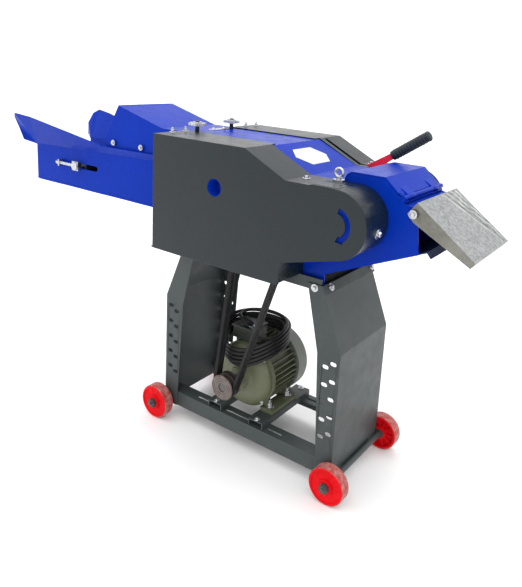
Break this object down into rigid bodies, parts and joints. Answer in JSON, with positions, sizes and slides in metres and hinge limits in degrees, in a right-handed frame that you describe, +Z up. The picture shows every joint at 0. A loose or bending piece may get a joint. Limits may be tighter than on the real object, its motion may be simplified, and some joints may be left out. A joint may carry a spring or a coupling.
{
  "type": "chaff cutter",
  "caption": "Electric chaff cutter with feed trough, knife rotor, thrower, belt guards and outlet deflector on a wheeled sheet-metal stand.",
  "frame": {"origin": "middle of the whole outline, on the floor", "axes": "+X from the feed trough to the outlet, +Y away from the motor pulley side, +Z up"},
  "size_m": [1.6006, 0.45, 0.9385],
  "materials": {
    "blue_paint": "gloss",
    "slate_paint": "satin",
    "stand_paint": "satin",
    "zinc": "bright",
    "galvanised": "spangled",
    "steel": "machined",
    "cast": "as cast",
    "red_plastic": "moulded",
    "red_paint": "gloss",
    "rubber": "matt",
    "olive_paint": "satin"
  },
  "bodies": {
    "base": {"left_end_panel": "stand_paint", "right_end_panel": "stand_paint", "near_lower_rail": "stand_paint", "far_lower_rail": "stand_paint", "near_top_rail": "stand_paint", "far_top_rail": "stand_paint", "motor_rails": "stand_paint", "left_axle": "steel", "right_axle": "steel", "ledger_knife": "steel", "roller_springs": "steel", "near_side_wall": "blue_paint", "far_side_wall": "blue_paint", "knife_pan": "blue_paint", "top_plate": "blue_paint", "chamber_pan": "blue_paint", "hinge_pin": "blue_paint", "feed_trough": "blue_paint", "feed_hood": "blue_paint", "hood_lock": "zinc", "takeup_screws": "zinc", "near_guard": "slate_paint", "far_guard": "slate_paint", "shaft_bearings": "cast", "motor_body": "olive_paint", "motor_bell": "olive_paint", "fan_cowl": "olive_paint", "terminal_box": "olive_paint", "feed_belt": "rubber", "cord_gland": "rubber", "motor_belts": "rubber", "thrower_belt": "rubber", "cord_coil": "rubber", "plug": "rubber"},
    "knife_rotor": {"knife_shaft": "steel", "drive_pulley": "cast", "knife_carrier": "cast", "knives": "zinc", "feed_pinion": "steel"},
    "thrower": {"thrower_rotor": "steel", "thrower_pulley": "cast"},
    "motor_rotor": {"motor_shaft": "steel", "motor_pulley": "cast"},
    "lower_feed": {"lower_roller": "steel", "feed_gear": "steel"},
    "float": {"float_frame": "slate_paint"},
    "upper_feed": {"upper_roller": "steel", "upper_timing_gear": "steel"},
    "near_nut": {"near_hand_nut": "zinc"},
    "far_nut": {"far_hand_nut": "zinc"},
    "idler": {"idler_roller": "steel"},
    "rear_belt": {"rear_belt_roller": "steel"},
    "hood": {"chamber_hood": "blue_paint"},
    "deflector": {"deflector": "galvanised"},
    "lever": {"lever": "red_paint", "lever_grip": "rubber"},
    "wheel_near_left": {"wheel_near_left": "red_plastic"},
    "wheel_near_right": {"wheel_near_right": "red_plastic"},
    "wheel_far_left": {"wheel_far_left": "red_plastic"},
    "wheel_far_right": {"wheel_far_right": "red_plastic"}
  },
  "joints": [
    {"name": "knife_spin", "type": "hinge", "parent": "base", "child": "knife_rotor", "pos_m": [0.29272, 0, 0.743], "axis": [0, 1, 0], "continuous": true},
    {"name": "thrower_spin", "type": "hinge", "parent": "base", "child": "thrower", "pos_m": [0.51022, 0, 0.7465], "axis": [0, 1, 0], "continuous": true},
    {"name": "motor_spin", "type": "hinge", "parent": "base", "child": "motor_rotor", "pos_m": [0.17472, 0, 0.208], "axis": [0, 1, 0], "continuous": true},
    {"name": "lower_feed_spin", "type": "hinge", "parent": "base", "child": "lower_feed", "pos_m": [0.14672, 0, 0.70859], "axis": [0, 1, 0], "continuous": true},
    {"name": "roller_float", "type": "slide", "parent": "base", "child": "float", "axis": [0, 0, 1], "range_m": [0, 0.015], "stiffness_N_per_m": 4000, "springref_m": -0.02, "deforming": ["roller_springs"]},
    {"name": "upper_feed_spin", "type": "hinge", "parent": "float", "child": "upper_feed", "pos_m": [0.14672, 0, 0.77859], "axis": [0, 1, 0], "continuous": true},
    {"name": "near_nut_turn", "type": "hinge", "parent": "float", "child": "near_nut", "pos_m": [-0.03828, -0.075, 0.905], "axis": [0, 0, 1], "continuous": true},
    {"name": "far_nut_turn", "type": "hinge", "parent": "float", "child": "far_nut", "pos_m": [-0.03828, 0.075, 0.905], "axis": [0, 0, 1], "continuous": true},
    {"name": "idler_spin", "type": "hinge", "parent": "base", "child": "idler", "pos_m": [-0.51928, 0, 0.72], "axis": [0, 1, 0], "continuous": true},
    {"name": "rear_belt_spin", "type": "hinge", "parent": "base", "child": "rear_belt", "pos_m": [0.08172, 0, 0.72], "axis": [0, 1, 0], "continuous": true},
    {"name": "hood_lift", "type": "hinge", "parent": "base", "child": "hood", "pos_m": [0.62022, 0, 0.8095], "axis": [0, 1, 0], "range_deg": [0, 95]},
    {"name": "deflector_tilt", "type": "hinge", "parent": "base", "child": "deflector", "pos_m": [0.65222, 0, 0.7815], "axis": [0, 1, 0], "range_deg": [-30, 20]},
    {"name": "lever_swing", "type": "hinge", "parent": "base", "child": "lever", "pos_m": [0.29272, 0, 0.743], "axis": [0, -1, 0], "range_deg": [0, 64]},
    {"name": "wheel_near_left_spin", "type": "hinge", "parent": "base", "child": "wheel_near_left", "pos_m": [-0.10358, 0, 0.051], "axis": [0, 1, 0], "continuous": true},
    {"name": "wheel_near_right_spin", "type": "hinge", "parent": "base", "child": "wheel_near_right", "pos_m": [0.51302, 0, 0.051], "axis": [0, 1, 0], "continuous": true},
    {"name": "wheel_far_left_spin", "type": "hinge", "parent": "base", "child": "wheel_far_left", "pos_m": [-0.10358, 0, 0.051], "axis": [0, 1, 0], "continuous": true},
    {"name": "wheel_far_right_spin", "type": "hinge", "parent": "base", "child": "wheel_far_right", "pos_m": [0.51302, 0, 0.051], "axis": [0, 1, 0], "continuous": true}
  ],
  "couplings": [
    {"joint": "thrower_spin", "follows": "knife_spin", "ratio": 1.5},
    {"joint": "motor_spin", "follows": "knife_spin", "ratio": 2.5},
    {"joint": "lower_feed_spin", "follows": "knife_spin", "ratio": -0.21951},
    {"joint": "upper_feed_spin", "follows": "knife_spin", "ratio": 0.21951},
    {"joint": "idler_spin", "follows": "knife_spin", "ratio": -0.21951},
    {"joint": "rear_belt_spin", "follows": "knife_spin", "ratio": -0.21951}
  ]
}
